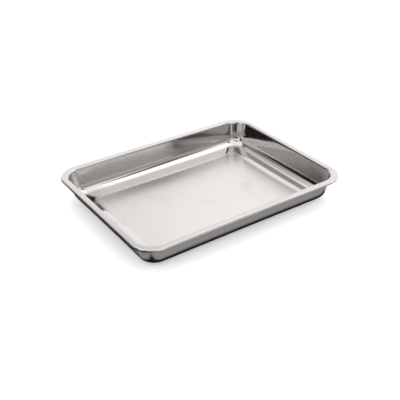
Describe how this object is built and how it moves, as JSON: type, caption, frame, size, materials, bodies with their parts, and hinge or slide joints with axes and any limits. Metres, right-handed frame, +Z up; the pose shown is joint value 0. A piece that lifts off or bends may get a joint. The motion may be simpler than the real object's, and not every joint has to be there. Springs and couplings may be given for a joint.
{
  "type": "instrument tray",
  "caption": "Shallow rectangular stainless steel instrument tray, pressed from one sheet, with a flat turned-down rim, rounded corners, leaning walls and a flat open well.",
  "frame": {"origin": "centre of the flat underside of the floor, where the tray stands", "axes": "+X along the long side, +Y along the short side, +Z up out of the open well"},
  "size_m": [0.4, 0.3, 0.047],
  "materials": {
    "polished_steel": "polished stainless steel, bright walls and rim with a satin floor"
  },
  "bodies": {
    "root": {"tray_pan": "polished_steel"}
  },
  "joints": []
}
